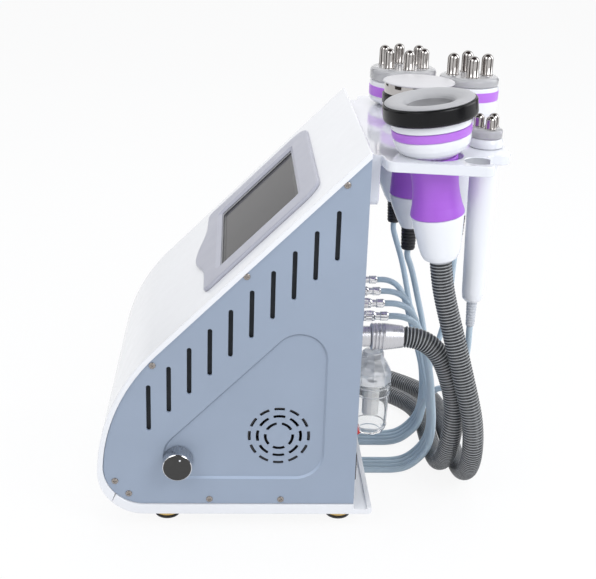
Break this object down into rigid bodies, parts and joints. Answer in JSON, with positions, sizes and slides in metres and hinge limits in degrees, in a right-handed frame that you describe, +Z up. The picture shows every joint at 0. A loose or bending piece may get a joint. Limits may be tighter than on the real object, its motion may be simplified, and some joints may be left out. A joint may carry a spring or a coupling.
{
  "type": "cavitation slimming machine",
  "caption": "Desktop body-care console with a sloping touch screen, a rear holder for corded handpieces, a ribbed vacuum hose, cables, side vents, a knob and rounded feet.",
  "frame": {"origin": "on the table under the middle of the machine's box, its free hose and cables left out", "axes": "+Z up, +X towards the knob side, -Y towards the side with the screen, +Y towards the holder and the connectors"},
  "size_m": [0.504, 0.396, 0.4332],
  "materials": {
    "white_shell": "gloss",
    "panel_grey": "satin",
    "bezel_lilac": "satin",
    "screen_glass": "gloss",
    "dark_plastic": "satin",
    "ring_black": "gloss",
    "grip_purple": "satin",
    "acrylic_white": "gloss",
    "handpiece_white": "gloss",
    "cap_grey": "satin",
    "cup_silver": "satin",
    "chrome": "polished",
    "aluminium": "satin",
    "brass": "satin",
    "gold_foot": "satin",
    "switch_red": "gloss",
    "clear_bowl": "clear",
    "filter_white": "matte",
    "board_green": "satin",
    "steel": "satin",
    "cable_blue": "satin",
    "hose_grey": "satin"
  },
  "bodies": {
    "console": {"front_cover": "white_shell", "base_tray": "white_shell", "side_panel_right": "panel_grey", "side_panel_left": "panel_grey", "back_panel": "panel_grey", "screen_bezel": "bezel_lilac", "touch_glass": "screen_glass", "display_module": "dark_plastic", "regulator_body": "brass", "fan_frame": "dark_plastic", "vacuum_pump": "steel", "power_supply": "steel", "control_board": "board_green", "hose_socket": "aluminium", "hose_plug": "aluminium", "filter_head": "dark_plastic", "filter_element": "filter_white", "switch_housing": "dark_plastic", "power_inlet": "dark_plastic", "holder_plate": "acrylic_white", "vacuum_hose": "hose_grey", "cable_six_pole": "cable_blue", "cable_four_pole": "cable_blue", "cable_cavitation": "cable_blue", "cable_three_pole": "cable_blue", "cable_socket_1": "chrome", "cable_plug_1": "chrome", "foot_1": "gold_foot", "cable_socket_2": "chrome", "cable_plug_2": "chrome", "foot_2": "gold_foot", "cable_socket_3": "chrome", "cable_plug_3": "chrome", "foot_3": "gold_foot", "cable_socket_4": "chrome", "cable_plug_4": "chrome", "foot_4": "gold_foot"},
    "knob_body": {"knob": "dark_plastic"},
    "fan_spinner": {"fan_rotor": "dark_plastic"},
    "rocker": {"rocker_switch": "switch_red"},
    "filter_cup": {"filter_bowl": "clear_bowl"},
    "suction_handpiece": {"suction_body": "handpiece_white", "suction_grip": "grip_purple", "suction_band": "grip_purple", "suction_ring": "ring_black", "suction_cup": "cup_silver"},
    "cavitation_handpiece": {"cavitation_body": "handpiece_white", "cavitation_grip": "grip_purple", "cavitation_band": "grip_purple", "cavitation_ring": "ring_black", "cavitation_head": "chrome"},
    "six_pole_handpiece": {"six_pole_body": "handpiece_white", "six_pole_cap": "cap_grey", "six_pole_electrodes": "chrome"},
    "four_pole_handpiece": {"four_pole_body": "handpiece_white", "four_pole_cap": "cap_grey", "four_pole_electrodes": "chrome"},
    "three_pole_handpiece": {"three_pole_body": "handpiece_white", "three_pole_cap": "cap_grey", "three_pole_electrodes": "chrome"}
  },
  "joints": [
    {"name": "knob_turn", "type": "hinge", "parent": "console", "child": "knob_body", "pos_m": [0.1588, -0.1215, 0.075], "axis": [1, 0, 0], "range_deg": [-135, 135]},
    {"name": "fan_spin", "type": "hinge", "parent": "console", "child": "fan_spinner", "pos_m": [0.13, -0.026, 0.1002], "axis": [1, 0, 0], "continuous": true},
    {"name": "rocker_tilt", "type": "hinge", "parent": "console", "child": "rocker", "pos_m": [0.1, 0.0485, 0.093], "axis": [1, 0, 0], "range_deg": [-24, 0]},
    {"name": "bowl_turn", "type": "hinge", "parent": "console", "child": "filter_cup", "pos_m": [0.05, 0.0713, 0.1167], "axis": [0, 0, 1], "range_deg": [0, 90]},
    {"name": "suction_lift", "type": "slide", "parent": "console", "child": "suction_handpiece", "axis": [0.0175, -0.1409, 0.9899], "range_m": [0, 0.118]},
    {"name": "cavitation_lift", "type": "slide", "parent": "console", "child": "cavitation_handpiece", "axis": [0, 0, 1], "range_m": [0, 0.145]},
    {"name": "six_pole_lift", "type": "slide", "parent": "console", "child": "six_pole_handpiece", "axis": [0, 0, 1], "range_m": [0, 0.145]},
    {"name": "four_pole_lift", "type": "slide", "parent": "console", "child": "four_pole_handpiece", "axis": [0, 0, 1], "range_m": [0, 0.145]},
    {"name": "three_pole_lift", "type": "slide", "parent": "console", "child": "three_pole_handpiece", "axis": [0, 0, 1], "range_m": [0, 0.192]}
  ]
}
